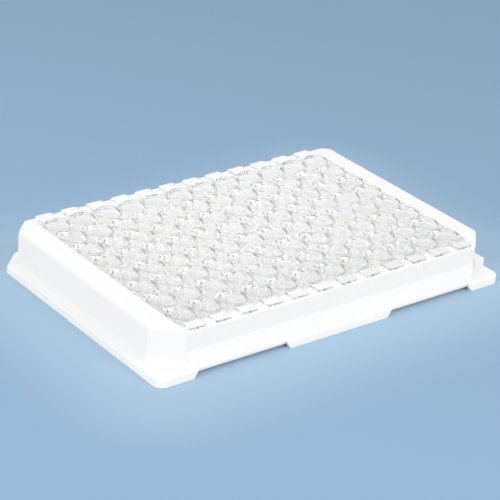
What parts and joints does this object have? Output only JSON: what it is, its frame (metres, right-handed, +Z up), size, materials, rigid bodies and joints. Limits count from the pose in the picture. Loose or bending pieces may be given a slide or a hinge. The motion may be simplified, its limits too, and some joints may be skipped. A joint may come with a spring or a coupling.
{
  "type": "strip well plate",
  "caption": "Low rectangular assay plate: white holder frame with a flanged base, carrying clear strips of round flat-bottomed wells.",
  "frame": {"origin": "centre of the footprint, on the surface that the plate stands on", "axes": "+X from column 1 to column 12, +Y from row H to row A, +Z up"},
  "size_m": [0.1278, 0.0854, 0.0148],
  "materials": {
    "frame_white": "smooth moulded white polystyrene, soft sheen",
    "strip_clear": "clear moulded polystyrene, glossy"
  },
  "bodies": {
    "root": {"frame": "frame_white", "strip_01": "strip_clear", "strip_02": "strip_clear", "strip_03": "strip_clear", "strip_04": "strip_clear", "strip_05": "strip_clear", "strip_06": "strip_clear", "strip_07": "strip_clear", "strip_08": "strip_clear", "strip_09": "strip_clear", "strip_10": "strip_clear", "strip_11": "strip_clear", "strip_12": "strip_clear"}
  },
  "joints": []
}
